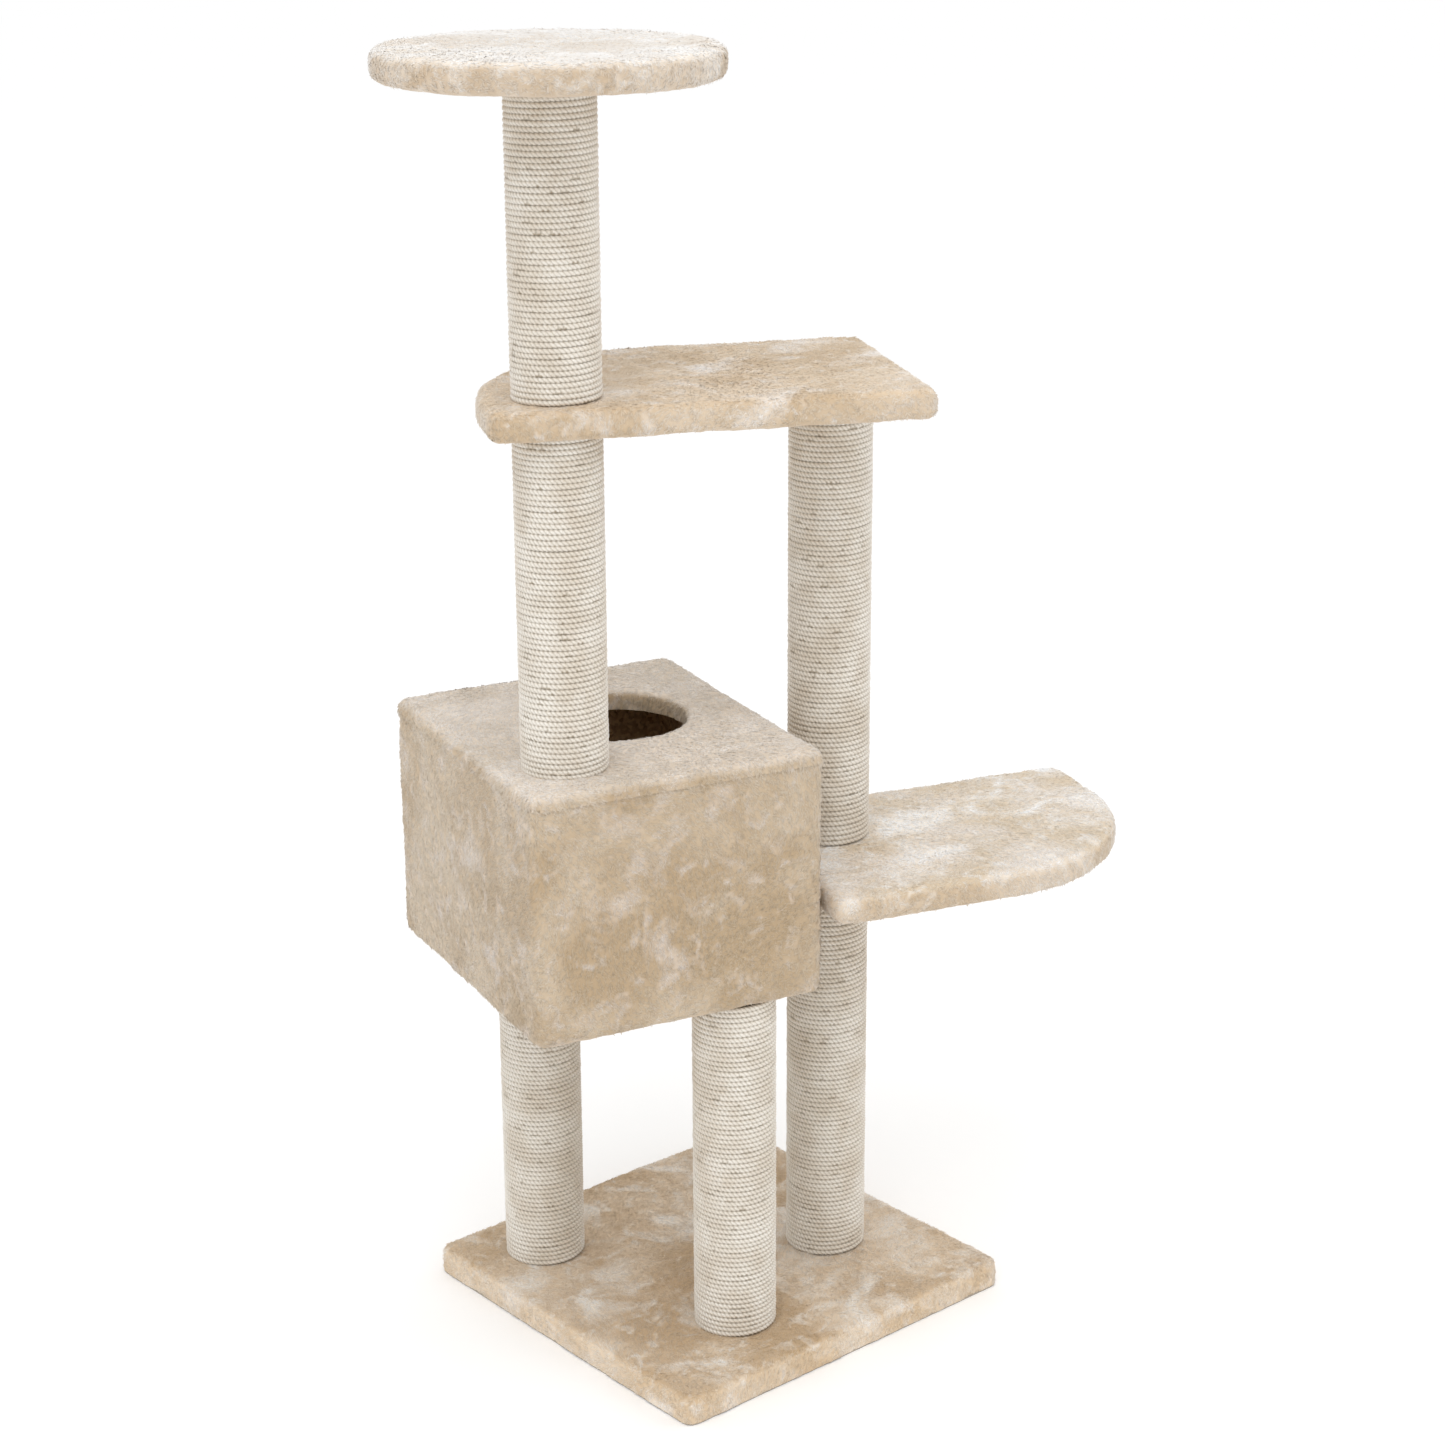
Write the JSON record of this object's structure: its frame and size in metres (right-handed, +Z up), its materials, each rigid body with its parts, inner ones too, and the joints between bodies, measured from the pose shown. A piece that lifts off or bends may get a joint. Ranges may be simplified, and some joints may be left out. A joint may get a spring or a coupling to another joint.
{
  "type": "cat tree",
  "caption": "Free-standing cat tree with plush boards, sisal-wound posts, a cave with a round roof hole, two shelves and a round top perch.",
  "frame": {"origin": "centre of the base's underside, on the floor", "axes": "+Z up along the posts, +X along the base's front edge to the right, +Y to the rear"},
  "size_m": [0.8738, 0.5372, 1.403],
  "materials": {
    "plush": "short-pile beige plush, nap brushed in patches",
    "sisal": "natural three-strand sisal rope, matt",
    "chipboard": "raw chipboard",
    "hardboard": "brown hardboard, smooth",
    "cardboard": "spiral-wound cardboard tube",
    "plug_plastic": "moulded black plastic",
    "steel": "zinc-plated steel"
  },
  "bodies": {
    "root": {"base_cover": "plush", "base_board": "chipboard", "base_backing": "hardboard", "base_washer_a1": "steel", "base_bolt_a1": "steel", "base_washer_a2": "steel", "base_bolt_a2": "steel", "base_washer_b1": "steel", "base_bolt_b1": "steel", "cave_roof_cover": "plush", "cave_floor_cover": "plush", "cave_wall_cover": "plush", "cave_mat": "plush", "cave_roof_panel": "chipboard", "cave_floor_panel": "chipboard", "cave_front_panel": "chipboard", "cave_left_panel": "chipboard", "cave_right_panel": "chipboard", "cave_rear_panel": "chipboard", "cave_washer_a1": "steel", "cave_bolt_a1": "steel", "cave_washer_a2": "steel", "cave_bolt_a2": "steel", "cave_washer_c1": "steel", "cave_bolt_c1": "steel", "landing_cover": "plush", "landing_board": "chipboard", "shelf_cover": "plush", "shelf_board": "chipboard", "perch_cover": "plush", "perch_board": "chipboard", "post_a1_sisal_wrap": "sisal", "post_a1_core_tube": "cardboard", "post_a1_plug_bottom": "plug_plastic", "post_a1_plug_top": "plug_plastic", "post_a2_sisal_wrap": "sisal", "post_a2_core_tube": "cardboard", "post_a2_plug_bottom": "plug_plastic", "post_a2_plug_top": "plug_plastic", "post_b1_sisal_wrap": "sisal", "post_b1_core_tube": "cardboard", "post_b1_plug_bottom": "plug_plastic", "post_b1_plug_top": "plug_plastic", "post_b2_sisal_wrap": "sisal", "post_b2_core_tube": "cardboard", "post_b2_plug_bottom": "plug_plastic", "post_b2_plug_top": "plug_plastic", "post_c1_sisal_wrap": "sisal", "post_c1_core_tube": "cardboard", "post_c1_plug_bottom": "plug_plastic", "post_c1_plug_top": "plug_plastic", "post_c2_sisal_wrap": "sisal", "post_c2_core_tube": "cardboard", "post_c2_plug_bottom": "plug_plastic", "post_c2_plug_top": "plug_plastic", "landing_stud": "steel", "shelf_stud": "steel", "shelf_bolt_b2": "steel", "perch_bolt_c2": "steel"}
  },
  "joints": []
}
